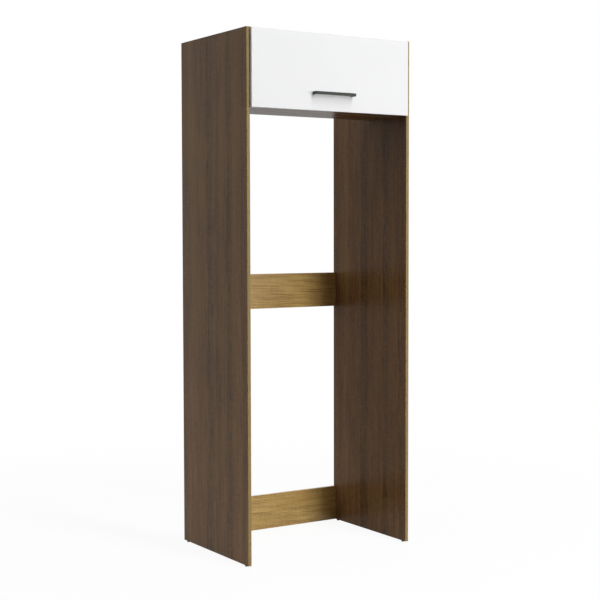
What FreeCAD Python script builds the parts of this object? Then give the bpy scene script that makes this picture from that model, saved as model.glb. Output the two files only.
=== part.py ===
import FreeCAD, Part
import math
import os

# Over-fridge cabinet: a tall open surround for a fridge with a shallow flap-door box across its top.
# Millimetres. +Z is up and the front faces -Y. The origin is on the floor, under the middle of the
# cabinet's outer box. Left and right are as seen from the front, so right is +X.

# Carcass boards
overall_width = 817.0
panel_height = 2190.0
panel_depth = 565.0
board = 15.0
edge_band = 1.0
edge_band_round = 0.7
board_round = 0.4
rail_height = 158.0
mid_rail_level = 1017.5

# Top box, measured back from the front edges of the side panels: its boards start a little behind them, so
# the flap closes just between the panels
box_setback = 3.1
box_depth = 285.0
back_panel_thickness = 3.0
back_panel_side_gap = 0.5
top_recess = 3.0

# Flap door in front of the box
door_height = 318.5
door_thickness = 15.0
door_round = 1.0
door_side_gap = 1.0
door_top_drop = 3.0
door_back_gap = 1.2
door_bottom_lip = 1.0
bumper_radius = 4.0
bumper_inset = 30.0
bumper_air = 0.2

# Bar handle
handle_spacing = 192.0
handle_leg_width = 8.5
handle_bar_height = 12.0
handle_bar_depth = 8.0
handle_projection = 26.7
handle_level = 71.5
handle_round = 1.2
handle_screw_radius = 2.0
handle_screw_grip = 9.0
handle_hole_gap = 0.25

# Concealed hinges: a cup in the door, a hooked arm under the top panel and one pin
hinge_inset = 100.0
cup_radius = 17.5
cup_depth = 11.5
cup_wall = 1.0
cup_lip = 0.8
cup_flange = 1.5
cup_screw_spacing = 48.0
cup_screw_offset = 6.0
cup_ear_radius = 6.0
pin_radius = 1.4
pin_lug_hold = 4.0
lug_size = 5.0
swing_clearance = 0.5
eye_radius = 2.7
eye_clearance = 0.6
arm_width = 10.0
arm_side_gap = 0.4
arm_thickness = 3.0
arm_clearance = 1.5
arm_length = 74.0
plate_setback = 30.0
plate_length = 40.0
plate_width = 16.0
plate_wing = 3.0
plate_wing_depth = 16.0
plate_screw_spacing = 32.0

# Gas struts, one beside each side panel
strut_offset = 20.0
strut_setback = 42.0
strut_side_level = 66.0
strut_door_drop = 60.0
strut_door_standoff = 18.0
strut_eye_width = 10.0
strut_eye_radius = 8.0
strut_stud_radius = 4.0
strut_boss_radius = 5.5
strut_cap = 1.5
strut_neck_step = 0.5
strut_seat = 14.0
strut_thread_radius = 2.5
strut_thread = 8.0
tube_radius = 7.5
tube_wall = 1.0
tube_floor = 2.0
guide_length = 10.0
guide_lip = 1.5
rod_radius = 3.0
rod_exposed = 15.0
rod_end_radius = 6.0
rod_end_reach = 16.0
piston_length = 8.0
piston_rest = 12.0
piston_gap = 0.3
door_stud_length = 3.0
door_stud_gap = 0.4
bracket_sheet = 2.0
side_bracket_height = 60.0
side_bracket_width = 22.0
side_bracket_pitch = 40.0
door_bracket_height = 40.0
door_bracket_width = 18.0
door_bracket_pitch = 26.0
door_bracket_leg = 9.0

# Knock-down fittings between the boards and the side panels
fitting_inset = 40.0
rail_fitting_inset = 24.0
fitting_pitch = 32.0
cam_radius = 7.5
cam_floor = 0.7
cam_setback = 34.0
cam_slot_width = 1.4
cam_slot_depth = 2.0
bolt_radius = 3.4
bolt_neck_radius = 2.2
bolt_head = 3.0
bolt_neck = 4.0
bolt_thread_radius = 2.5
bolt_thread = 11.0
bolt_bore_gap = 0.6
dowel_radius = 4.0
dowel_in_side = 10.0
dowel_in_board = 20.0
hole_end_gap = 0.5

# Screws and nails
screw_radius = 1.75
screw_hold = 11.0
screw_head_radius = 3.5
screw_head = 2.2
screw_tip = 3.0
recess_width = 0.9
recess_span = 3.8
recess_depth = 1.2
nail_radius = 0.8
nail_head_radius = 1.8
nail_head = 0.8
nail_hold = 13.0
nail_pitch = 120.0
nail_inset = 64.0

# Glides under the side panels
glide_height = 6.0
glide_radius = 6.2
glide_round = 1.0
glide_front_inset = 29.0
glide_back_inset = 26.0
glide_nail_radius = 1.2
glide_nail_head_radius = 2.6
glide_nail_head = 1.2
glide_nail_recess = 2.4
glide_nail_hold = 14.0

# Wall brackets behind the box
wall_bracket_height = 40.0
wall_bracket_leg = 30.0
wall_bracket_drop = 80.0
wall_bracket_pitch = 24.0
wall_hole_radius = 2.75
wall_hole_inset = 18.0

# Radial clearances: fixed fittings in their holes, and pins that turn or slide
fit_gap = 0.05
running_gap = 0.05

V = FreeCAD.Vector
ALONG_X = V(1, 0, 0)
ALONG_Y = V(0, 1, 0)
ALONG_Z = V(0, 0, 1)
MIDDLE = V(0, 0, 0)

# Planes of the carcass
half_width = overall_width / 2
inner = half_width - board
overall_depth = panel_depth - box_setback + door_back_gap + door_thickness + handle_projection
back = overall_depth / 2
front = back - panel_depth
panel_bottom = glide_height
panel_top = panel_bottom + panel_height

# Planes of the door and the box behind it
box_front = front + box_setback
door_back = box_front - door_back_gap
door_front = door_back - door_thickness
door_half = inner - door_side_gap
door_top = panel_top - door_top_drop
door_bottom = door_top - door_height
handle_z = door_bottom + handle_level
top_front = box_front + top_recess
top_under = panel_top - board
bottom_under = door_bottom + door_bottom_lip
bottom_upper = bottom_under + board
box_back = front + box_depth
boards_back = box_back - back_panel_thickness

# The cams reach past the bolts' bores, which run along the middle of the boards
cam_height = board / 2 + bolt_radius + bolt_bore_gap + cam_floor

# The hinge pin lies as deep in the cup as the arm's eye can turn, and so far below the door's top that
# the door's upper edge just clears the top panel as the flap swings
pin_depth = cup_depth - cup_wall - eye_radius - eye_clearance
swing_reach = pin_depth + top_front - door_back - swing_clearance
pin_drop = math.sqrt(swing_reach ** 2 - pin_depth ** 2)
pin_y = door_back - pin_depth
pin_z = door_top - pin_drop
hinge_x = door_half - hinge_inset

# The cup's round wall clears the corners of the eye, which is as wide as the arm
cup_bore = cup_radius - cup_wall
cup_z = pin_z + eye_radius + eye_clearance - math.sqrt(cup_bore ** 2 - (arm_width / 2) ** 2)
arm_top = pin_z - pin_depth - cup_flange - arm_clearance
arm_under = arm_top - arm_thickness
plate_front = pin_y + plate_setback
plate_back = plate_front + plate_length
plate_middle = (plate_front + plate_back) / 2
ear_z = cup_z - cup_screw_offset

# Strut pivots with the flap shut
strut_x = inner - strut_offset
side_stud_y = box_front + strut_setback
side_stud_z = bottom_upper + strut_side_level
door_stud_y = door_back + strut_door_standoff
door_stud_z = pin_z - strut_door_drop
strut_length = math.hypot(door_stud_y - side_stud_y, door_stud_z - side_stud_z)
strut_lean = math.degrees(math.atan2(side_stud_y - door_stud_y, door_stud_z - side_stud_z))
tube_top = strut_length - rod_end_reach - rod_exposed - guide_lip
tube_bore = tube_radius - tube_wall
strut_neck_radius = strut_eye_width / 2 - strut_neck_step

parts = {}


def block(x0, x1, y0, y1, z0, z1):
    """Rectangular block between two opposite corners."""
    return Part.makeBox(x1 - x0, y1 - y0, z1 - z0, V(x0, y0, z0))


def bar(radius, start, along, length):
    """Round bar from a start point along a unit direction."""
    return Part.makeCylinder(radius, length, start, along)


def runs_along(edge, along):
    """True for a straight edge that runs along the given axis."""
    run = edge.Vertexes[-1].Point - edge.Vertexes[0].Point
    return abs(run.dot(along)) > 0.999 * edge.Length


def rounded(shape, radius, along, keep=None):
    """Round the edges that run along one axis; keep picks some of them by their middle point."""
    edges = [edge for edge in shape.Edges if runs_along(edge, along)]
    if keep:
        edges = [edge for edge in edges if keep(edge.CenterOfMass)]
    return shape.makeFillet(radius, edges)


def mirrored(shape):
    """The same piece on the left side."""
    return shape.mirror(MIDDLE, ALONG_X)


def pair(name, shape):
    """Store a right-hand piece and its left-hand mirror image."""
    parts[name + "_right"] = shape
    parts[name + "_left"] = mirrored(shape)


def group(name, solids):
    """Store like fasteners, given for the right side, as one node of separate solids on both sides."""
    parts[name] = Part.makeCompound(solids + [mirrored(solid) for solid in solids])


def drilled(shape, holes):
    """Cut a list of holes out of a piece."""
    return shape.cut(Part.makeCompound(holes)) if holes else shape


def screw(seat, along, shank_radius, length, tip):
    """Pan-head screw: its head stands on the seat and its shank runs from the seat along a direction."""
    head = bar(screw_head_radius, seat - along * screw_head, along, screw_head)
    outer_edge = [edge for edge in head.Edges if (edge.CenterOfMass - seat).dot(along) < -screw_head / 2
                  and edge.Closed]
    head = head.makeFillet(screw_head / 3, outer_edge)
    shank = bar(shank_radius, seat, along, length - tip)
    solid = head.fuse(shank)
    if tip:
        point = Part.makeCone(shank_radius, shank_radius / 4, tip, seat + along * (length - tip), along)
        solid = solid.fuse(point)
    return solid.cut(cross_recess(seat - along * screw_head, along, recess_span, recess_width, recess_depth))


def cross_recess(face, along, span, width, depth):
    """Cross-shaped driver recess, sunk from a point on a flat face along a direction."""
    across = ALONG_Y if abs(along.dot(ALONG_X)) > 0.5 else ALONG_X
    upright = along.cross(across)
    slots = []
    for long_way, short_way in ((across, upright), (upright, across)):
        corner = face - long_way * (span / 2) - short_way * (width / 2)
        outline = [corner, corner + long_way * span, corner + long_way * span + short_way * width,
                   corner + short_way * width, corner]
        slots.append(Part.Face(Part.makePolygon(outline)).extrude(along * depth))
    return slots[0].fuse(slots[1])


def pilot(seat, along, radius, length):
    """Hole for a fixed shank: the shank's own size and a fit clearance all round."""
    return bar(radius + fit_gap, seat, along, length + hole_end_gap)


def both_ends(holes):
    """Right-hand holes and their mirror images."""
    return holes + [mirrored(hole) for hole in holes]


# Knock-down fittings

def end_places(start, end, inset):
    """Places along a board's end: bolts outermost, dowels one pitch further in."""
    bolts = [start + inset, end - inset]
    dowels = [start + inset + fitting_pitch, end - inset - fitting_pitch]
    return bolts, dowels


def flat_board_fittings(board_front, level, cam_face):
    """Bolt places, as joint point, cam face point and inward direction, and dowel points of a flat board."""
    bolts, dowels = end_places(board_front, boards_back, fitting_inset)
    bolt_places = [(V(inner, y, level), V(inner - cam_setback, y, cam_face), ALONG_Z * -1) for y in bolts]
    return bolt_places, [V(inner, y, level) for y in dowels]


def rail_fittings(rail_bottom):
    """The same for an upright rail, whose cams are let into its rear face."""
    level = back - board / 2
    bolts, dowels = end_places(rail_bottom, rail_bottom + rail_height, rail_fitting_inset)
    bolt_places = [(V(inner, level, z), V(inner - cam_setback, back, z), ALONG_Y * -1) for z in bolts]
    return bolt_places, [V(inner, level, z) for z in dowels]


def end_holes(fittings):
    """Holes in the right-hand end of a board: a bolt bore, a cam bore, and dowel holes."""
    bolt_places, dowel_points = fittings
    holes = []
    for joint, face, inward in bolt_places:
        holes.append(bar(bolt_radius + bolt_bore_gap, joint, ALONG_X * -1, cam_setback))
        holes.append(bar(cam_radius, face, inward, cam_height + hole_end_gap))
    for joint in dowel_points:
        holes.append(pilot(joint, ALONG_X * -1, dowel_radius, dowel_in_board))
    return holes


def side_holes(fittings):
    """Holes for the same fittings in the right-hand side panel's inner face."""
    bolt_places, dowel_points = fittings
    holes = [pilot(joint, ALONG_X, bolt_thread_radius, bolt_thread) for joint, face, inward in bolt_places]
    holes += [pilot(joint, ALONG_X, dowel_radius, dowel_in_side) for joint in dowel_points]
    return holes


def cam_bolt(joint):
    """Bolt screwed into the side panel's inner face, with its head reaching back to the cam."""
    head_start = joint - ALONG_X * (cam_setback + bolt_head / 2)
    neck_start = head_start + ALONG_X * bolt_head
    shaft_start = neck_start + ALONG_X * bolt_neck
    head = bar(bolt_radius, head_start, ALONG_X, bolt_head)
    neck = bar(bolt_neck_radius, neck_start, ALONG_X, bolt_neck)
    shaft = bar(bolt_radius, shaft_start, ALONG_X, joint.x - shaft_start.x)
    thread = bar(bolt_thread_radius, joint, ALONG_X, bolt_thread)
    return head.fuse([neck, shaft, thread])


def cam_lock(joint, face, inward):
    """Round cam let into a board's face, with a driver cross outside and a bore for the bolt's head."""
    body = bar(cam_radius - fit_gap, face, inward, cam_height)
    bore_start = joint - ALONG_X * (cam_setback + bolt_radius)
    bore = bar(bolt_radius + bolt_bore_gap, bore_start, ALONG_X, cam_radius + bolt_radius)
    slot = cross_recess(face, inward, cam_radius, cam_slot_width, cam_slot_depth)
    return body.cut(bore).cut(slot)


def dowel(joint):
    """Beech dowel across a joint."""
    start = joint - ALONG_X * dowel_in_board
    return bar(dowel_radius, start, ALONG_X, dowel_in_board + dowel_in_side)


fittings = {
    "top_panel": flat_board_fittings(top_front, panel_top - board / 2, panel_top),
    "bottom_panel": flat_board_fittings(box_front, bottom_under + board / 2, bottom_upper),
    "mid_rear_rail": rail_fittings(panel_bottom + mid_rail_level),
    "lower_rear_rail": rail_fittings(panel_bottom),
}
bolt_places = [place for bolts, dowels in fittings.values() for place in bolts]
dowel_points = [point for bolts, dowels in fittings.values() for point in dowels]
group("cam_bolts", [cam_bolt(joint) for joint, face, inward in bolt_places])
group("cam_locks", [cam_lock(joint, face, inward) for joint, face, inward in bolt_places])
group("dowels", [dowel(joint) for joint in dowel_points])


# Screw places: a point where the head seats, and the direction of the shank

side_bracket_seats = [V(inner - bracket_sheet, side_stud_y, side_stud_z + rise)
                      for rise in (-side_bracket_pitch / 2, side_bracket_pitch / 2)]
wall_bracket_z = panel_top - wall_bracket_drop
wall_bracket_seats = [V(inner - bracket_sheet, back - wall_bracket_leg / 2, wall_bracket_z + rise)
                      for rise in (-wall_bracket_pitch / 2, wall_bracket_pitch / 2)]
door_bracket_x = strut_x - strut_eye_width / 2 - door_stud_gap - door_stud_length
door_bracket_middle = door_bracket_x - door_bracket_width / 2
door_bracket_seats = [V(door_bracket_middle, door_back + bracket_sheet, door_stud_z + rise)
                      for rise in (-door_bracket_pitch / 2, door_bracket_pitch / 2)]
cup_seats = [V(hinge_x + side * cup_screw_spacing / 2, door_back + cup_flange, ear_z) for side in (-1, 1)]
plate_seats = [V(hinge_x + side * plate_screw_spacing / 2, plate_middle, top_under - plate_wing)
               for side in (-1, 1)]
handle_seats = [V(handle_spacing / 2, door_back, handle_z)]


def wood_screws(seats, along, sheet):
    """Wood screws through a sheet of the given thickness into the board behind it."""
    return [screw(seat, along, screw_radius, sheet + screw_hold, screw_tip) for seat in seats]


def screw_holes(seats, along, sheet):
    """Holes for those screws, through the sheet and into the board."""
    return [pilot(seat, along, screw_radius, sheet + screw_hold) for seat in seats]


group("side_bracket_screws", wood_screws(side_bracket_seats, ALONG_X, bracket_sheet))
group("wall_bracket_screws", wood_screws(wall_bracket_seats, ALONG_X, bracket_sheet))
group("door_bracket_screws", wood_screws(door_bracket_seats, ALONG_Y * -1, bracket_sheet))
group("hinge_cup_screws", wood_screws(cup_seats, ALONG_Y * -1, cup_flange))
group("hinge_plate_screws", wood_screws(plate_seats, ALONG_Z, plate_wing))


# Carcass boards

glide_places = [front + glide_front_inset, back - glide_back_inset]
glide_x = half_width - board / 2


def side_panel():
    """Right-hand side panel behind its edge band, with the holes for everything fixed to it."""
    solid = block(inner, half_width, front + edge_band, back, panel_bottom, panel_top)
    solid = rounded(solid, board_round, ALONG_Z, lambda middle: middle.y > front + edge_band + board_round)
    holes = [hole for fitting in fittings.values() for hole in side_holes(fitting)]
    holes += screw_holes(side_bracket_seats, ALONG_X, bracket_sheet)
    holes += screw_holes(wall_bracket_seats, ALONG_X, bracket_sheet)
    for y in glide_places:
        holes.append(pilot(V(glide_x, y, panel_bottom), ALONG_Z, glide_nail_radius, glide_nail_hold))
    return drilled(solid, holes)


def front_edge_band():
    """Thin band that covers the side panel's front edge, with rounded outer corners."""
    solid = block(inner, half_width, front, front + edge_band, panel_bottom, panel_top)
    return rounded(solid, edge_band_round, ALONG_Z, lambda middle: middle.y < front + edge_band / 2)


def flat_board(board_front, underside, fitting, extra_holes):
    """Top or bottom of the box: a board between the side panels, drilled for its fittings and screws."""
    solid = block(-inner, inner, board_front, boards_back, underside, underside + board)
    solid = rounded(solid, board_round, ALONG_X)
    return drilled(solid, both_ends(end_holes(fitting) + extra_holes))


def rear_rail(rail_bottom, fitting):
    """Upright board across the back, flush with the side panels' back edges."""
    solid = block(-inner, inner, back - board, back, rail_bottom, rail_bottom + rail_height)
    solid = rounded(solid, board_round, ALONG_X)
    return drilled(solid, both_ends(end_holes(fitting)))


nail_count = int((inner - nail_inset) / nail_pitch) + 1
nail_places = [V(inner - nail_inset - index * nail_pitch, box_back, level)
               for index in range(nail_count)
               for level in (bottom_under + board / 2, panel_top - board / 2)]


def back_nail_holes():
    """Holes for the back panel's nails on the right-hand half."""
    length = back_panel_thickness + nail_hold
    return [pilot(place, ALONG_Y * -1, nail_radius, length) for place in nail_places]


def nail(place):
    """Flat-headed nail from behind, through the back panel into a board's rear edge."""
    head = bar(nail_head_radius, place, ALONG_Y, nail_head)
    return head.fuse(bar(nail_radius, place, ALONG_Y * -1, back_panel_thickness + nail_hold))


def box_back_panel():
    """Hardboard sheet nailed over the rear edges of the box."""
    half = inner - back_panel_side_gap
    solid = block(-half, half, boards_back, box_back, bottom_under, panel_top)
    return drilled(solid, both_ends(back_nail_holes()))


top_nail_holes = [hole for hole in back_nail_holes() if hole.CenterOfMass.z > top_under]
bottom_nail_holes = [hole for hole in back_nail_holes() if hole.CenterOfMass.z < bottom_upper]
plate_holes = screw_holes(plate_seats, ALONG_Z, plate_wing)
pair("side_panel", side_panel())
pair("front_edge_band", front_edge_band())
parts["top_panel"] = flat_board(top_front, top_under, fittings["top_panel"], plate_holes + top_nail_holes)
parts["bottom_panel"] = flat_board(box_front, bottom_under, fittings["bottom_panel"], bottom_nail_holes)
parts["box_back_panel"] = box_back_panel()
parts["mid_rear_rail"] = rear_rail(panel_bottom + mid_rail_level, fittings["mid_rear_rail"])
parts["lower_rear_rail"] = rear_rail(panel_bottom, fittings["lower_rear_rail"])
group("back_panel_nails", [nail(place) for place in nail_places])


# Glides

def glide(y):
    """Round plastic glide under a side panel, recessed below for its nail's head."""
    middle = V(glide_x, y, 0)
    pad = bar(glide_radius, middle, ALONG_Z, glide_height)
    lower_edge = [edge for edge in pad.Edges if edge.Closed and edge.CenterOfMass.z < glide_height / 2]
    pad = pad.makeFillet(glide_round, lower_edge)
    recess = bar(glide_nail_head_radius + fit_gap, middle, ALONG_Z, glide_nail_recess)
    shaft = bar(glide_nail_radius + fit_gap, middle, ALONG_Z, glide_height)
    return pad.cut(recess.fuse(shaft))


def glide_nail(y):
    """Nail that holds a glide: its head bears on the end of the recess."""
    seat = V(glide_x, y, glide_nail_recess)
    head = bar(glide_nail_head_radius, seat, ALONG_Z * -1, glide_nail_head)
    shaft_length = glide_height - glide_nail_recess + glide_nail_hold
    return head.fuse(bar(glide_nail_radius, seat, ALONG_Z, shaft_length))


pair("front_glide", glide(glide_places[0]))
pair("rear_glide", glide(glide_places[1]))
group("glide_nails", [glide_nail(y) for y in glide_places])


# Wall brackets

def wall_bracket():
    """Steel angle on the side panel's inner face, with a hole for a wall screw in its rear leg."""
    low = wall_bracket_z - wall_bracket_height / 2
    high = wall_bracket_z + wall_bracket_height / 2
    panel_leg = block(inner - bracket_sheet, inner, back - wall_bracket_leg, back, low, high)
    wall_leg = block(inner - wall_bracket_leg, inner, back - bracket_sheet, back, low, high)
    solid = panel_leg.fuse(wall_leg).removeSplitter()
    wall_hole = bar(wall_hole_radius, V(inner - wall_hole_inset, back, wall_bracket_z), ALONG_Y * -1,
                    bracket_sheet)
    return drilled(solid, [wall_hole] + screw_holes(wall_bracket_seats, ALONG_X, bracket_sheet))


pair("wall_bracket", wall_bracket())


# Flap door and handle

def handle_bar():
    """Straight bar on two legs, one solid, with a screw hole up each leg."""
    half = (handle_spacing + handle_leg_width) / 2
    low = handle_z - handle_bar_height / 2
    high = handle_z + handle_bar_height / 2
    bar_front = door_front - handle_projection
    bar_back = bar_front + handle_bar_depth
    solid = block(-half, half, bar_front, door_front, low, high)
    leg_inside = (handle_spacing - handle_leg_width) / 2
    solid = solid.cut(block(-leg_inside, leg_inside, bar_back, door_front, low, high))
    solid = rounded(solid, handle_round, ALONG_X)
    hole = pilot(V(handle_spacing / 2, door_front, handle_z), ALONG_Y * -1, handle_screw_radius,
                 handle_screw_grip)
    return drilled(solid, both_ends([hole]))


def flap_door():
    """Plain door slab with cup bores, and holes for its handle, hinges and strut brackets."""
    solid = block(-door_half, door_half, door_front, door_back, door_bottom, door_top)
    solid = solid.makeFillet(door_round, solid.Edges)
    holes = [bar(cup_radius, V(hinge_x, door_back, cup_z), ALONG_Y * -1, cup_depth + hole_end_gap)]
    holes += screw_holes(cup_seats, ALONG_Y * -1, cup_flange)
    holes += screw_holes(door_bracket_seats, ALONG_Y * -1, bracket_sheet)
    for seat in handle_seats:
        holes.append(bar(handle_screw_radius + handle_hole_gap, seat, ALONG_Y * -1, door_thickness))
    return drilled(solid, both_ends(holes))


def bumper():
    """Soft dot on the door's back that meets the bottom panel's front edge."""
    middle = V(door_half - bumper_inset, door_back, bottom_under + board / 2)
    return bar(bumper_radius, middle, ALONG_Y, door_back_gap - bumper_air)


parts["flap_door"] = flap_door()
parts["door_handle"] = handle_bar()
handle_screw_length = door_thickness + handle_screw_grip
group("handle_screws", [screw(seat, ALONG_Y * -1, handle_screw_radius, handle_screw_length, 0)
                        for seat in handle_seats])
group("door_bumpers", [bumper()])


# Concealed hinges

lug_start = arm_width / 2 + arm_side_gap
pin_half = lug_start + pin_lug_hold


def hinge_cup():
    """Cup let into the door, with screw ears on the door's back and two lugs inside for the pin."""
    mouth = V(hinge_x, door_back, cup_z)
    inward = ALONG_Y * -1
    outer = bar(cup_radius - fit_gap, mouth, inward, cup_depth)
    hollow = bar(cup_bore, mouth + ALONG_Y * cup_flange, inward,
                 cup_flange + cup_depth - cup_wall)
    flange = bar(cup_radius + cup_lip, mouth, ALONG_Y, cup_flange)
    half_spacing = cup_screw_spacing / 2
    flange = flange.fuse(block(hinge_x - half_spacing, hinge_x + half_spacing, door_back,
                               door_back + cup_flange, ear_z - cup_ear_radius, ear_z + cup_ear_radius))
    for seat in cup_seats:
        flange = flange.fuse(bar(cup_ear_radius, seat, inward, cup_flange))
    shell = outer.fuse(flange).cut(hollow)
    lugs = block(hinge_x - cup_radius, hinge_x + cup_radius, pin_y - lug_size / 2, pin_y + lug_size / 2,
                 pin_z - lug_size / 2, pin_z + lug_size / 2)
    gap = block(hinge_x - lug_start, hinge_x + lug_start, pin_y - lug_size, pin_y + lug_size,
                pin_z - lug_size, pin_z + lug_size)
    solid = shell.fuse(lugs.cut(gap).common(outer)).removeSplitter()
    pin_hole = bar(pin_radius + fit_gap, V(hinge_x - pin_half - fit_gap, pin_y, pin_z), ALONG_X,
                   2 * (pin_half + fit_gap))
    return drilled(solid, [pin_hole] + screw_holes(cup_seats, inward, cup_flange))


def hinge_pin():
    """Pin across the cup, held in both lugs."""
    return bar(pin_radius, V(hinge_x - pin_half, pin_y, pin_z), ALONG_X, 2 * pin_half)


def hinge_arm():
    """Hooked arm: an eye on the pin, a neck down out of the cup and a bar back under the plate."""
    left = hinge_x - arm_width / 2
    right = hinge_x + arm_width / 2
    eye = bar(eye_radius, V(left, pin_y, pin_z), ALONG_X, arm_width)
    neck = block(left, right, pin_y - arm_thickness / 2, pin_y + arm_thickness / 2, arm_under, pin_z)
    tail = block(left, right, pin_y - arm_thickness / 2, pin_y + arm_length, arm_under, arm_top)
    solid = neck.fuse(tail)
    bend = [edge for edge in solid.Edges if runs_along(edge, ALONG_X)
            and edge.CenterOfMass.y < pin_y and edge.CenterOfMass.z < arm_top]
    solid = solid.makeFillet(arm_thickness / 2, bend).fuse(eye)
    hole = bar(pin_radius + running_gap, V(left, pin_y, pin_z), ALONG_X, arm_width)
    return drilled(solid, [hole, arm_screw_hole()]).removeSplitter()


arm_screw_seat = V(hinge_x, plate_middle, arm_under)
arm_screw_length = top_under - arm_under - hole_end_gap


def arm_screw_hole():
    """Hole for the screw that clamps the arm to its plate."""
    return pilot(arm_screw_seat, ALONG_Z, screw_radius, arm_screw_length)


def hinge_plate():
    """Mounting plate under the top panel: a block over the arm and a thin wing to each side for screws."""
    body = block(hinge_x - plate_width / 2, hinge_x + plate_width / 2, plate_front, plate_back,
                 arm_top, top_under)
    wing_half = (plate_screw_spacing + plate_wing_depth) / 2
    wings = block(hinge_x - wing_half, hinge_x + wing_half, plate_middle - plate_wing_depth / 2,
                  plate_middle + plate_wing_depth / 2, top_under - plate_wing, top_under)
    wings = rounded(wings, plate_wing_depth / 3, ALONG_Z)
    solid = body.fuse(wings).removeSplitter()
    return drilled(solid, [arm_screw_hole()] + screw_holes(plate_seats, ALONG_Z, plate_wing))


pair("hinge_cup", hinge_cup())
pair("hinge_pin", hinge_pin())
pair("hinge_arm", hinge_arm())
pair("hinge_plate", hinge_plate())
group("hinge_arm_screws", [screw(arm_screw_seat, ALONG_Z, screw_radius, arm_screw_length, 0)])


# Gas struts, drawn upright from the side stud and then leaned to meet the door stud

def leaned(shape):
    """Turn a strut piece about its side stud and set it at its place beside the right side panel."""
    shape.rotate(MIDDLE, ALONG_X, strut_lean)
    shape.translate(V(strut_x, side_stud_y, side_stud_z))
    return shape


def eye_disc(radius, level):
    """Flat round end of a strut, across its pivot."""
    return bar(radius, V(-strut_eye_width / 2, 0, level), ALONG_X, strut_eye_width)


def strut_tube_end():
    """Moulded lower end: an eye on the side stud and a socket for the tube's thread."""
    neck = bar(strut_neck_radius, MIDDLE, ALONG_Z, strut_seat)
    pivot = bar(strut_stud_radius + running_gap, V(-strut_eye_width, 0, 0), ALONG_X, 2 * strut_eye_width)
    socket = bar(strut_thread_radius + fit_gap, V(0, 0, strut_seat), ALONG_Z * -1, strut_thread)
    return leaned(eye_disc(strut_eye_radius, 0).fuse(neck).cut(pivot.fuse(socket)))


def strut_tube():
    """Gas tube with a closed lower end and a threaded stub below it."""
    body = bar(tube_radius, V(0, 0, strut_seat), ALONG_Z, tube_top - strut_seat)
    bore_start = strut_seat + tube_floor
    body = body.cut(bar(tube_bore, V(0, 0, bore_start), ALONG_Z, tube_top - bore_start))
    thread_length = strut_thread - hole_end_gap
    return leaned(body.fuse(bar(strut_thread_radius, V(0, 0, strut_seat), ALONG_Z * -1, thread_length)))


def strut_guide():
    """Seal and rod guide in the tube's mouth."""
    plug = bar(tube_bore - fit_gap, V(0, 0, tube_top - guide_length), ALONG_Z, guide_length)
    lip = bar(tube_radius, V(0, 0, tube_top), ALONG_Z, guide_lip)
    passage = bar(rod_radius + running_gap, V(0, 0, tube_top - guide_length), ALONG_Z,
                  guide_length + guide_lip)
    return leaned(plug.fuse(lip).cut(passage))


rod_top = strut_length - rod_end_reach + strut_thread - hole_end_gap
piston_bottom = strut_seat + tube_floor + piston_rest


def strut_rod():
    """Piston rod with its piston near the foot of the tube."""
    piston = bar(tube_bore - piston_gap, V(0, 0, piston_bottom), ALONG_Z, piston_length)
    return leaned(piston.fuse(bar(rod_radius, V(0, 0, piston_bottom), ALONG_Z, rod_top - piston_bottom)))


def strut_rod_end():
    """Moulded upper end, a closed cup that faces the door stud."""
    neck_start = strut_length - rod_end_reach
    neck = bar(strut_neck_radius, V(0, 0, neck_start), ALONG_Z, rod_end_reach)
    socket = bar(rod_radius + fit_gap, V(0, 0, neck_start), ALONG_Z, strut_thread)
    return leaned(eye_disc(rod_end_radius, strut_length).fuse(neck).cut(socket))


def strut_side_bracket():
    """Steel plate on the side panel with a shouldered stud for the strut's lower eye."""
    half_height = side_bracket_height / 2
    half_width_of_plate = side_bracket_width / 2
    plate = block(inner - bracket_sheet, inner, side_stud_y - half_width_of_plate,
                  side_stud_y + half_width_of_plate, side_stud_z - half_height, side_stud_z + half_height)
    plate = rounded(plate, side_bracket_width / 3, ALONG_X)
    stud = V(inner - bracket_sheet, side_stud_y, side_stud_z)
    boss_length = strut_offset - strut_eye_width / 2 - bracket_sheet - fit_gap
    stud_length = strut_offset + strut_eye_width / 2 - bracket_sheet + fit_gap
    boss = bar(strut_boss_radius, stud, ALONG_X * -1, boss_length)
    shaft = bar(strut_stud_radius, stud, ALONG_X * -1, stud_length)
    cap = bar(strut_boss_radius, stud - ALONG_X * stud_length, ALONG_X * -1, strut_cap)
    solid = plate.fuse([boss, shaft, cap])
    return drilled(solid, screw_holes(side_bracket_seats, ALONG_X, bracket_sheet))


def strut_door_bracket():
    """Steel angle on the door's back with a stud that faces the strut's upper end."""
    half_height = door_bracket_height / 2
    foot = block(door_bracket_x - door_bracket_width, door_bracket_x, door_back, door_back + bracket_sheet,
                 door_stud_z - half_height, door_stud_z + half_height)
    leg = block(door_bracket_x - bracket_sheet, door_bracket_x, door_back, door_stud_y,
                door_stud_z - door_bracket_leg, door_stud_z + door_bracket_leg)
    leg_end = bar(door_bracket_leg, V(door_bracket_x - bracket_sheet, door_stud_y, door_stud_z), ALONG_X,
                  bracket_sheet)
    stud = bar(strut_stud_radius, V(door_bracket_x, door_stud_y, door_stud_z), ALONG_X, door_stud_length)
    solid = foot.fuse([leg, leg_end, stud]).removeSplitter()
    return drilled(solid, screw_holes(door_bracket_seats, ALONG_Y * -1, bracket_sheet))


pair("strut_tube_end", strut_tube_end())
pair("strut_tube", strut_tube())
pair("strut_guide", strut_guide())
pair("strut_rod", strut_rod())
pair("strut_rod_end", strut_rod_end())
pair("strut_side_bracket", strut_side_bracket())
pair("strut_door_bracket", strut_door_bracket())

os.makedirs("parts", exist_ok=True)
for name, shape in parts.items():
    shape.exportStep("parts/" + name + ".step")
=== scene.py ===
import math

import bpy
import numpy as np
from mathutils import Matrix, Vector


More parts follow.
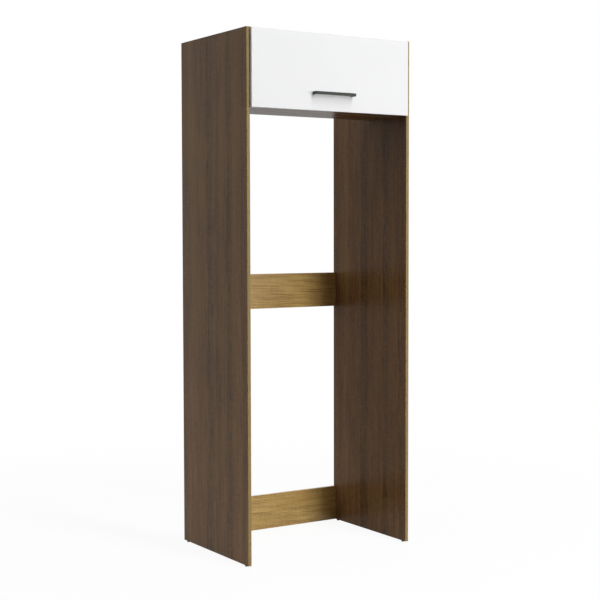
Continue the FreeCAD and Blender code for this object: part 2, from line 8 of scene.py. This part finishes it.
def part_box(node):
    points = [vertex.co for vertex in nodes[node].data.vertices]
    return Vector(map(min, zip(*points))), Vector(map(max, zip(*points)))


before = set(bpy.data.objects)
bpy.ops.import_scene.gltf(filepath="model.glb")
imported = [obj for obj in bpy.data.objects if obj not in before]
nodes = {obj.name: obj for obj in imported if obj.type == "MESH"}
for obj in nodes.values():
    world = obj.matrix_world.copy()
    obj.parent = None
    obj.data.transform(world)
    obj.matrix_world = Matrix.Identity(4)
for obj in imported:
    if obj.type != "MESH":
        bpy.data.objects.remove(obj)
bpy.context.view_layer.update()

# Camera: where the viewer stands, and how the view is turned
focal_length = 78.615
film_width = 36.0
camera_place = Vector((-3.0773, -4.8403, 1.3673))
camera_yaw = math.radians(32.542)
camera_pitch = math.radians(2.9235)
camera_roll = math.radians(-0.1087)

# Lamps: a tall soft key above the front, and a low wide lamp further to the right
lamp_aim = Vector((0.0, -0.2, 1.35))
key_azimuth = math.radians(14.5)
key_height = math.radians(40.0)
key_distance = 12.0
key_width = 2.5
key_length = 15.0
key_power = 1500.0
low_azimuth = math.radians(52.0)
low_height = math.radians(8.0)
low_distance = 8.0
low_width = 9.6
low_length = 2.5
low_power = 230.0

# Surround: white to the eye, and a light from above the left and from behind the right
pure_white = (1.0, 1.0, 1.0)
bright_sides = (
    (Vector((-0.791, 0.212, 0.574)), 0.69),
    (Vector((0.520, 0.750, 0.408)), 0.90),
)
bright_fade = (0.50, 0.95)

# Floor: its paint to the eye, its darker paint as a light, and the distances at which these change
floor_reach = 60.0
floor_paint = (0.92, 0.92, 0.92)
floor_near = (0.38, 0.38, 0.38)
floor_far = (0.06, 0.06, 0.06)
floor_dimming = (0.7, 2.5)
floor_whiteness = 0.93
floor_fade = (1.5, 3.5)

# Brown decor of the side panels and the box, in linear colours, with ramps as stops of (place, colour)
walnut_browns = (
    (0.36, (0.150, 0.078, 0.033)),
    (0.50, (0.218, 0.117, 0.050)),
    (0.64, (0.288, 0.163, 0.076)),
)
walnut_shares = {"broad": 0.24, "streak": 0.40, "ripple": 0.22, "hair": 0.14}
walnut_ochre = (0.258, 0.152, 0.058)
walnut_ochre_share = 0.45
walnut_pore_shade = 0.26
walnut_dash_shade = 0.16
walnut_roughness = (0.21, 0.33)
walnut_relief = 0.0001
panel_gloss = 0.085
box_gloss = 0.012

# Strips of the brown decor, each with its middle, half width and strength
dark_strips = (
    (0.052, 0.042, 0.31),
    (-0.111, 0.031, 0.27),
    (-0.013, 0.014, 0.11),
    (-0.229, 0.018, 0.13),
)
pale_strips = (
    (0.215, 0.050, 0.12),
    (-0.176, 0.045, 0.12),
)
strip_fade = 0.7
grain_sway = 0.02
strip_raggedness = 0.05
ladder_plain = 0.55
ladder_rungs = 0.50
ladder_dashes = 0.55

# Painted shade round the rim of the side panels, and their raw edges
painted_rim_shade_width = 0.0014
painted_rim_shade_soft = (0.6, 1.4)
painted_rim_shade_strength = 0.55
raw_edge_turn = (0.55, 0.75)
chip_browns = (
    (0.15, (0.26, 0.175, 0.095)),
    (0.85, (0.52, 0.39, 0.24)),
)
chip_shares = {"chips": 0.7, "dust": 0.3}

# Golden decor of the rails
oak_golds = (
    (0.34, (0.280, 0.157, 0.042)),
    (0.50, (0.525, 0.342, 0.107)),
    (0.66, (0.640, 0.446, 0.166)),
)
oak_shares = {"arch": 0.14, "streak": 0.50, "hair": 0.18, "ripple": 0.18}
oak_red = (0.520, 0.300, 0.098)
oak_red_share = 0.45
oak_streak = (0.200, 0.114, 0.038)
oak_streak_share = 0.55
oak_pore_shade = 0.30
oak_roughness = (0.26, 0.36)
oak_relief = 0.0002
oak_gloss = 0.40
arch_phase_across = 900.0
arch_phase_along = 12.0
arch_warp = 0.03
arch_wander = 14.0
streak_slope = 0.05
streak_warp = 0.02

# Edge bands, door, back panel and dowels
dull_gloss = 0.2
band_golds = (
    (0.3, (0.280, 0.188, 0.072)),
    (0.7, (0.345, 0.242, 0.100)),
)
band_fleck = (0.175, 0.100, 0.034)
band_fleck_share = 0.55
band_roughness = (0.40, 0.55)
band_relief = 0.0001
door_whites = ((0.835, 0.838, 0.846), (0.850, 0.852, 0.858))
door_roughness = (0.30, 0.38)
door_relief = 0.00002
fibre_browns = (
    (0.3, (0.20, 0.115, 0.055)),
    (0.7, (0.34, 0.21, 0.11)),
)
fibre_shares = {"fibre": 0.6, "cloud": 0.4}
fibre_roughness = (0.5, 0.7)
fibre_relief = 0.0001
lacquer_tones = ((0.70, 0.69, 0.66), (0.76, 0.75, 0.72))
lacquer_depth = 0.0002
lacquer_end = 0.0006
beech_browns = (
    (0.3, (0.42, 0.27, 0.14)),
    (0.7, (0.62, 0.45, 0.27)),
)
beech_roughness = (0.6, 0.8)
beech_relief = 0.00005

# Metals, paints and plastics, as a dark and a light tone
graphite_tones = ((0.046, 0.053, 0.043), (0.066, 0.076, 0.061))
nickel_tones = ((0.50, 0.49, 0.47), (0.62, 0.61, 0.58))
zinc_tones = ((0.42, 0.43, 0.44), (0.60, 0.61, 0.62))
steel_tones = ((0.55, 0.55, 0.56), (0.70, 0.70, 0.71))
metal_shares = {"hair": 0.7, "cloud": 0.3}
metal_grit = 0.14
metal_relief = 0.00002
strut_paint_tones = ((0.16, 0.165, 0.17), (0.24, 0.245, 0.25))
plastic_tones = ((0.012, 0.012, 0.013), (0.030, 0.030, 0.032))
silicone_tones = ((0.62, 0.63, 0.64), (0.74, 0.75, 0.76))
plastic_shares = {"cloud": 0.6, "pebble": 0.4}
plastic_grit = 0.12
plastic_relief = 0.00004


class Signal:
    """A shader socket that takes part in Python arithmetic: each operator adds one Math node."""

    def __init__(self, finish, socket):
        self.finish = finish
        self.socket = socket

    def out(self, name):
        """Another output of the same node."""
        return Signal(self.finish, self.socket.node.outputs[name])

    def math(self, operation, *terms):
        return self.finish.node("ShaderNodeMath", {"operation": operation}, dict(enumerate(terms)))

    def __add__(self, other):
        return self.math("ADD", self, other)

    def __radd__(self, other):
        return self.math("ADD", other, self)

    def __sub__(self, other):
        return self.math("SUBTRACT", self, other)

    def __rsub__(self, other):
        return self.math("SUBTRACT", other, self)

    def __mul__(self, other):
        return self.math("MULTIPLY", self, other)

    def __rmul__(self, other):
        return self.math("MULTIPLY", other, self)

    def __truediv__(self, other):
        return self.math("DIVIDE", self, other)

    def __rtruediv__(self, other):
        return self.math("DIVIDE", other, self)

    def __abs__(self):
        return self.math("ABSOLUTE", self)

    def least(self, other):
        return self.math("MINIMUM", self, other)

    def most(self, other):
        return self.math("MAXIMUM", self, other)

    def wave(self):
        """Swings between 0 and 1 with the sine of this value."""
        return self.math("SINE", self) * 0.5 + 0.5

    def run(self, low, high):
        """Runs evenly from low where this value is 0 to high where it is 1."""
        return low + self * (high - low)

    def step(self, low, high):
        """Runs smoothly from 0 at low to 1 at high."""
        settings = {"interpolation_type": "SMOOTHSTEP"}
        inputs = {"Value": self, "From Min": low, "From Max": high}
        return self.finish.node("ShaderNodeMapRange", settings, inputs)

    def ramp(self, stops):
        """The colour at this value between stops of (place, colour)."""
        return self.finish.node("ShaderNodeValToRGB", {"stops": stops}, {"Fac": self})

    def mix(self, low, high):
        """The colour low where this value is 0, and high where it is 1."""
        inputs = {"Factor_Float": self, "A_Color": rgba(low), "B_Color": rgba(high)}
        return self.finish.node("ShaderNodeMix", {"data_type": "RGBA"}, inputs, "Result_Color")

    def shade(self, colour):
        """The colour multiplied by this value."""
        grey = self.finish.node("ShaderNodeCombineColor", {}, {"Red": self, "Green": self, "Blue": self})
        settings = {"data_type": "RGBA", "blend_type": "MULTIPLY"}
        inputs = {"Factor_Float": 1.0, "A_Color": rgba(colour), "B_Color": grey}
        return self.finish.node("ShaderNodeMix", settings, inputs, "Result_Color")


def rgba(colour):
    """A colour with its alpha, or a link left as it is."""
    return colour if isinstance(colour, Signal) else (*colour, 1.0)


def pick(sockets, name):
    """A socket by its place in the list, its identifier or its name."""
    if isinstance(name, int):
        return sockets[name]
    for socket in sockets:
        if socket.identifier == name:
            return socket
    return sockets[name]


def fill_ramp(ramp, stops):
    """Sets a colour ramp to stops of (place, colour)."""
    while len(ramp.elements) > 1:
        ramp.elements.remove(ramp.elements[-1])
    ramp.elements[0].position = stops[0][0]
    ramp.elements[0].color = rgba(stops[0][1])
    for place, colour in stops[1:]:
        ramp.elements.new(place).color = rgba(colour)


class Graph:
    """A node tree that starts empty."""

    def __init__(self, tree):
        self.tree = tree
        self.tree.nodes.clear()

    def node(self, kind, settings, inputs, output=0):
        """A node of any kind: its settings first, then the values or links of its sockets."""
        made = self.tree.nodes.new(kind)
        for name, value in settings.items():
            if name == "stops":
                fill_ramp(made.color_ramp, value)
            else:
                setattr(made, name, value)
        for name, value in inputs.items():
            socket = pick(made.inputs, name)
            if isinstance(value, Signal):
                self.tree.links.new(value.socket, socket)
            else:
                socket.default_value = value
        return None if output is None else Signal(self, pick(made.outputs, output))

    def seen(self):
        """1 for rays that show the surroundings: from the camera, off gloss and through glass."""
        path = self.node("ShaderNodeLightPath", {}, {}, "Is Camera Ray")
        return path.most(path.out("Is Glossy Ray")).most(path.out("Is Transmission Ray"))


class Finish(Graph):
    """A material around one shader, with the steps that finishes share."""

    def __init__(self, name, **constants):
        self.material = bpy.data.materials.new(name)
        self.material.use_nodes = True
        super().__init__(self.material.node_tree)
        self.shader = self.tree.nodes.new("ShaderNodeBsdfPrincipled")
        self.surface(Signal(self, self.shader.outputs["BSDF"]))
        self.coordinates = self.node("ShaderNodeTexCoord", {}, {}, "Object")
        for socket, value in constants.items():
            self.shader.inputs[socket.replace("_", " ")].default_value = value

    def surface(self, shader):
        """Shows that shader."""
        self.node("ShaderNodeOutputMaterial", {"is_active_output": True}, {"Surface": shader}, None)

    def axes(self, order):
        """The object's coordinates in the named order, such as along, across and into a board."""
        split = self.node("ShaderNodeSeparateXYZ", {}, {"Vector": self.coordinates})
        return [split.out(letter) for letter in order]

    def noise(self, vector, scale=1.0, detail=2.0):
        """Noise of so many cells per unit of the vector, with finer layers as detail."""
        return self.node("ShaderNodeTexNoise", {}, {"Vector": vector, "Scale": scale, "Detail": detail})

    def grain(self, board, fineness, stretch, detail=2.0, shift=0.0):
        """Noise drawn out along a board's grain.

        Fineness counts cells per metre across the grain, stretch is a cell's length by its width, and shift
        moves the pattern along.
        """
        along, across, into = board
        inputs = {"X": across * fineness, "Y": along * (fineness / stretch) + shift, "Z": into * fineness}
        return self.noise(self.node("ShaderNodeCombineXYZ", {}, inputs), detail=detail)

    def facing(self, axis):
        """How squarely the surface faces along one of the object's axes, from 0 to 1."""
        normal = self.node("ShaderNodeTexCoord", {}, {}, "Normal")
        return abs(self.node("ShaderNodeSeparateXYZ", {}, {"Vector": normal}).out(axis))

    def relief(self, height, depth):
        """A bump of that depth in metres."""
        return self.node("ShaderNodeBump", {}, {"Height": height, "Distance": depth, "Strength": 1.0})

    def feed(self, **links):
        """Joins what changes over the surface to the shader's sockets."""
        for socket, value in links.items():
            self.tree.links.new(value.socket, self.shader.inputs[socket.replace("_", " ")])
        return self.material


def blend(shares, **patterns):
    """The sum of the named patterns, each times its share."""
    total = 0.0
    for name, share in shares.items():
        total = patterns[name] * share + total
    return total


def pored(hair, pores):
    """Height of a pored face: half from its hair lines, and half lost in its pores."""
    return hair * 0.5 + (1.0 - pores) * 0.5


def chipboard(finish):
    """Raw core of a board: a ramp over pressed chips of several tones and fine dust."""
    inputs = {"Vector": finish.coordinates, "Scale": 420.0}
    cells = finish.node("ShaderNodeTexVoronoi", {}, inputs, "Color")
    chips = finish.node("ShaderNodeSeparateColor", {}, {"Color": cells})
    dust = finish.noise(finish.coordinates, scale=1500.0)
    return blend(chip_shares, chips=chips, dust=dust).ramp(chip_browns)


def painted_rim_shade(finish, name, order):
    """1 within a thin line round the rim of a board's face, where the colour is darkened as painted shade.

    The distance to the rim is the least of half the board's size less the distance from its middle.
    """
    lowest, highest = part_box(name)
    middle = (lowest + highest) / 2
    reach = (highest - lowest) / 2
    nearest = None
    for letter, place in zip(order, finish.axes(order)):
        centre = getattr(middle, letter.lower())
        margin = getattr(reach, letter.lower()) - abs(place - centre)
        nearest = margin if nearest is None else nearest.least(margin)
    near, far = (painted_rim_shade_width * part for part in painted_rim_shade_soft)
    return 1.0 - nearest.step(near, far)


def strips(across, places):
    """How strongly strips mark a board: full along their middles and 0 at their edges."""
    total = 0.0
    for middle, reach, strength in places:
        total = (1.0 - abs(across - middle) / reach).step(0.0, strip_fade) * strength + total
    return total


def walnut(name, order, rim, gloss, decor_face=None):
    """Brown wood-decor board: a ramp over broad bands, streaks, cross ripple and hair lines.

    Dark laddered strips, pale strips, dashes, pores and a line of painted shade round the rim multiply the
    colour.
    Where an axis is given, faces that look along it keep the decor, and the board's edges show raw chips.
    """
    finish = Finish(name, Specular_IOR_Level=gloss)
    along, across, into = board = finish.axes(order)
    sway = (finish.grain(board, fineness=7.0, stretch=2.5) - 0.5) * grain_sway
    swayed = (along, across + sway, into)
    broad = finish.grain(swayed, fineness=17.0, stretch=26.0)
    streak = finish.grain(board, fineness=62.0, stretch=15.0, detail=3.0)
    dash = finish.grain(board, fineness=105.0, stretch=9.0, shift=5.3).step(low=0.52, high=0.72)
    hair = finish.grain(board, fineness=560.0, stretch=80.0)
    pores = finish.grain(board, fineness=1300.0, stretch=26.0).step(low=0.60, high=0.74)
    ripple = finish.grain(board, fineness=30.0, stretch=0.25, shift=3.1)
    rungs = finish.grain(board, fineness=26.0, stretch=0.30, shift=8.2).step(low=0.35, high=0.65)
    ochre = finish.grain(board, fineness=8.0, stretch=3.0, shift=11.9).step(low=0.44, high=0.66)
    tone = blend(walnut_shares, broad=broad, streak=streak, ripple=ripple, hair=hair)
    colour = (ochre * walnut_ochre_share).mix(tone.ramp(walnut_browns), walnut_ochre)
    ragged = across + sway + (streak - 0.5) * strip_raggedness
    ladder = strips(ragged, dark_strips) * (ladder_plain + rungs * ladder_rungs + dash * ladder_dashes)
    pale = strips(ragged, pale_strips)
    marks = 1.0 + pale - ladder - pores * walnut_pore_shade - dash * walnut_dash_shade
    colour = marks.shade(colour)
    # painted shade: the colour darkens in a thin line round the rim of the face
    colour = (1.0 - painted_rim_shade(finish, *rim) * painted_rim_shade_strength).shade(colour)
    if decor_face:
        colour = finish.facing(decor_face).step(*raw_edge_turn).mix(chipboard(finish), colour)
    bump = finish.relief(pored(hair, pores), walnut_relief)
    return finish.feed(Base_Color=colour, Roughness=streak.run(*walnut_roughness), Normal=bump)


def oak(name, order):
    """Golden wood-decor board: a ramp over warped sine arches, sloping streaks, hair lines and cross ripple.

    Redder patches and dark lines are mixed in, and pores multiply the colour.
    """
    finish = Finish(name, Specular_IOR_Level=oak_gloss)
    along, across, into = board = finish.axes(order)
    warp = finish.grain(board, fineness=9.0, stretch=5.0) - 0.5
    ring = (across + warp * arch_warp) * arch_phase_across + along * arch_phase_along
    arch = (ring + warp * arch_wander).wave()
    slope = (along, across + along * streak_slope + warp * streak_warp, into)
    streak = finish.grain(slope, fineness=110.0, stretch=18.0, detail=3.0)
    line = finish.grain(slope, fineness=150.0, stretch=22.0, shift=4.7).step(low=0.58, high=0.76)
    hair = finish.grain(board, fineness=620.0, stretch=60.0)
    ripple = finish.grain(board, fineness=40.0, stretch=0.22, shift=1.9)
    red = finish.grain(board, fineness=11.0, stretch=2.5, shift=6.4).step(low=0.45, high=0.70)
    pores = finish.grain(board, fineness=1100.0, stretch=22.0).step(low=0.58, high=0.72)
    tone = blend(oak_shares, arch=arch, streak=streak, hair=hair, ripple=ripple)
    colour = (red * oak_red_share).mix(tone.ramp(oak_golds), oak_red)
    colour = (line * oak_streak_share).mix(colour, oak_streak)
    colour = (1.0 - pores * oak_pore_shade).shade(colour)
    bump = finish.relief(pored(hair, pores), oak_relief)
    return finish.feed(Base_Color=colour, Roughness=streak.run(*oak_roughness), Normal=bump)


def edge_band():
    """Golden edge band: a ramp over long fine lines, with short brown flecks mixed in."""
    finish = Finish("edge_band", Specular_IOR_Level=dull_gloss)
    board = finish.axes("ZXY")
    lines = finish.grain(board, fineness=500.0, stretch=50.0, detail=3.0)
    flecks = finish.grain(board, fineness=260.0, stretch=4.0).step(low=0.56, high=0.70)
    colour = (flecks * band_fleck_share).mix(lines.ramp(band_golds), band_fleck)
    bump = finish.relief(lines, band_relief)
    return finish.feed(Base_Color=colour, Roughness=lines.run(*band_roughness), Normal=bump)


def white_lacquer():
    """Satin white door: two whites mixed by broad clouds, with a faint ripple in the lacquer."""
    finish = Finish("white_door")
    cloud = finish.noise(finish.coordinates, scale=6.0)
    peel = finish.noise(finish.coordinates, scale=700.0, detail=1.0)
    bump = finish.relief(peel, door_relief)
    return finish.feed(Base_Color=cloud.mix(*door_whites), Roughness=peel.run(*door_roughness), Normal=bump)


def brushed(name, tones, order, metallic, roughness, gloss=0.5):
    """Brushed metal, bare or painted: two tones mixed by hair lines along the first axis and by clouds."""
    finish = Finish(name, Metallic=metallic, Specular_IOR_Level=gloss)
    hair = finish.grain(finish.axes(order), fineness=2600.0, stretch=60.0, detail=3.0)
    cloud = finish.noise(finish.coordinates, scale=60.0)
    colour = blend(metal_shares, hair=hair, cloud=cloud).mix(*tones)
    bump = finish.relief(hair, metal_relief)
    return finish.feed(Base_Color=colour, Roughness=roughness + hair * metal_grit, Normal=bump)


def moulded(name, tones, roughness):
    """Moulded plastic or paint: two tones mixed by slight clouds and a fine pebble."""
    finish = Finish(name)
    cloud = finish.noise(finish.coordinates, scale=90.0)
    pebble = finish.noise(finish.coordinates, scale=2200.0)
    colour = blend(plastic_shares, cloud=cloud, pebble=pebble).mix(*tones)
    bump = finish.relief(pebble, plastic_relief)
    return finish.feed(Base_Color=colour, Roughness=roughness + pebble * plastic_grit, Normal=bump)


def hardboard():
    """Thin back panel: pale lacquer on the face towards the box, and pressed brown fibre behind it."""
    finish = Finish("hardboard", Specular_IOR_Level=dull_gloss)
    front_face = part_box("box_back_panel")[0].y
    fibre = finish.noise(finish.coordinates, scale=900.0, detail=4.0)
    cloud = finish.noise(finish.coordinates, scale=14.0)
    brown = blend(fibre_shares, fibre=fibre, cloud=cloud).ramp(fibre_browns)
    behind = finish.axes("Y")[0].step(front_face + lacquer_depth, front_face + lacquer_end)
    colour = behind.mix(cloud.mix(*lacquer_tones), brown)
    bump = finish.relief(fibre, fibre_relief)
    return finish.feed(Base_Color=colour, Roughness=fibre.run(*fibre_roughness), Normal=bump)


def beech():
    """Pale dowel wood: a ramp over short fine lines."""
    finish = Finish("beech", Specular_IOR_Level=dull_gloss)
    lines = finish.grain(finish.axes("XYZ"), fineness=900.0, stretch=14.0, detail=3.0)
    bump = finish.relief(lines, beech_relief)
    return finish.feed(Base_Color=lines.ramp(beech_browns), Roughness=lines.run(*beech_roughness), Normal=bump)


def dress(material, *names):
    """Gives nodes their finish."""
    for name in names:
        for slot in nodes[name].material_slots:
            slot.material = material


def both(*names):
    """The left and right node of each name."""
    return [f"{name}_{side}" for name in names for side in ("left", "right")]


# Each piece's finish
panel_decor = walnut("wood_decor", "ZYX", ("side_panel_left", "YZ"), panel_gloss, decor_face="X")
box_decor = walnut("box_decor", "XYZ", ("bottom_panel", "Y"), box_gloss)
dress(panel_decor, *both("side_panel"))
dress(box_decor, "top_panel", "bottom_panel")
dress(oak("rail_decor", "XZY"), "mid_rear_rail", "lower_rear_rail")
dress(edge_band(), *both("front_edge_band"))
dress(hardboard(), "box_back_panel")
dress(white_lacquer(), "flap_door")
dress(beech(), "dowels")

graphite = brushed("graphite", graphite_tones, "XYZ", metallic=0.0, roughness=0.42, gloss=0.12)
nickel = brushed("nickel", nickel_tones, "YXZ", metallic=1.0, roughness=0.22)
zinc = brushed("zinc", zinc_tones, "ZXY", metallic=1.0, roughness=0.34)
steel = brushed("bright_steel", steel_tones, "ZXY", metallic=1.0, roughness=0.18)
dress(graphite, "door_handle")
dress(nickel, *both("hinge_cup", "hinge_arm", "hinge_plate"))
dress(zinc, *both("wall_bracket", "strut_side_bracket", "strut_door_bracket"), "cam_locks")
dress(steel, *both("hinge_pin", "strut_rod"), "cam_bolts", "back_panel_nails", "glide_nails", "handle_screws")
dress(steel, "hinge_cup_screws", "hinge_plate_screws", "hinge_arm_screws")
dress(steel, "side_bracket_screws", "door_bracket_screws", "wall_bracket_screws")

strut_paint = moulded("strut_paint", strut_paint_tones, roughness=0.34)
black_plastic = moulded("black_plastic", plastic_tones, roughness=0.42)
bumper_silicone = moulded("bumper_silicone", silicone_tones, roughness=0.30)
dress(strut_paint, *both("strut_tube"))
dress(black_plastic, *both("strut_tube_end", "strut_guide", "strut_rod_end", "front_glide", "rear_glide"))
dress(bumper_silicone, "door_bumpers")


def sheet(name, width, length, level):
    """Flat rectangle at one level: x and y run evenly over a two by two grid."""
    across, away = np.meshgrid((-width / 2, width / 2), (-length / 2, length / 2))
    corners = np.stack([across, away, np.full_like(across, level)], -1).reshape(-1, 3)
    mesh = bpy.data.meshes.new(name)
    mesh.from_pydata(corners.tolist(), [], [(0, 1, 3, 2)])
    made = bpy.data.objects.new(name, mesh)
    bpy.context.scene.collection.objects.link(made)
    return made


def floor_finish():
    """Pale floor, shown near white: it takes the shadow near the object and fades to plain white further off.

    A white glow is mixed in for rays that show the surroundings, and for all others the paint is darker and
    dims with the distance from the object.
    """
    finish = Finish("floor", Roughness=1.0, Specular_IOR_Level=0.0)
    away = finish.node("ShaderNodeVectorMath", {"operation": "LENGTH"}, {0: finish.coordinates}, "Value")
    white = away.step(*floor_fade).run(floor_whiteness, 1.0)
    glow = finish.node("ShaderNodeEmission", {}, {"Color": rgba(pure_white), "Strength": 1.0})
    lit = Signal(finish, finish.shader.outputs["BSDF"])
    seen = finish.seen()
    finish.surface(finish.node("ShaderNodeMixShader", {}, {0: seen * white, 1: lit, 2: glow}))
    unseen_paint = away.step(*floor_dimming).mix(floor_near, floor_far)
    return finish.feed(Base_Color=seen.mix(unseen_paint, floor_paint))


def surround():
    """White all round to the eye and to gloss, and on everything else a light from its bright sides.

    A side's light falls off smoothly with the cosine of the angle from its middle.
    """
    world = bpy.data.worlds.new("surround")
    bpy.context.scene.world = world
    world.use_nodes = True
    graph = Graph(world.node_tree)
    direction = graph.node("ShaderNodeTexCoord", {}, {}, "Generated")
    strength = graph.seen()
    for side, level in bright_sides:
        inputs = {0: direction, 1: side}
        towards = graph.node("ShaderNodeVectorMath", {"operation": "DOT_PRODUCT"}, inputs, "Value")
        strength = strength.most(towards.step(*bright_fade) * level)
    sky = graph.node("ShaderNodeBackground", {}, {"Color": rgba(pure_white), "Strength": strength})
    graph.node("ShaderNodeOutputWorld", {}, {"Surface": sky}, None)


def lamp(name, azimuth, height, distance, width, length, power):
    """Oblong soft lamp that faces the object: azimuth is to the right of the front, height above the level."""
    light = bpy.data.lights.new(name, "AREA")
    light.shape = "RECTANGLE"
    light.size = width
    light.size_y = length
    light.energy = power
    across = math.cos(height)
    outward = Vector((math.sin(azimuth) * across, -math.cos(azimuth) * across, math.sin(height)))
    made = bpy.data.objects.new(name, light)
    made.location = lamp_aim + outward * distance
    made.rotation_euler = (-outward).to_track_quat("-Z", "Y").to_euler()
    made.visible_camera = False
    bpy.context.scene.collection.objects.link(made)


def view_camera():
    """Camera at the viewer's place, turned right by the yaw, down by the pitch and round by the roll."""
    ahead = Vector((math.sin(camera_yaw) * math.cos(camera_pitch),
                    math.cos(camera_yaw) * math.cos(camera_pitch),
                    -math.sin(camera_pitch)))
    level = Vector((math.cos(camera_yaw), -math.sin(camera_yaw), 0.0))
    upright = level.cross(ahead)
    right = level * math.cos(camera_roll) + upright * math.sin(camera_roll)
    up = upright * math.cos(camera_roll) - level * math.sin(camera_roll)
    data = bpy.data.cameras.new("view")
    data.sensor_width = film_width
    data.lens = focal_length
    made = bpy.data.objects.new("view", data)
    made.matrix_world = Matrix.Translation(camera_place) @ Matrix((right, up, -ahead)).transposed().to_4x4()
    bpy.context.scene.collection.objects.link(made)
    bpy.context.scene.camera = made


# Floor, surround, lamps and camera
floor = sheet("floor", floor_reach, floor_reach, level=0.0)
floor.data.materials.append(floor_finish())
surround()
lamp("key", key_azimuth, key_height, key_distance, key_width, key_length, key_power)
lamp("low", low_azimuth, low_height, low_distance, low_width, low_length, low_power)
view_camera()
bpy.context.scene.view_settings.view_transform = "Standard"
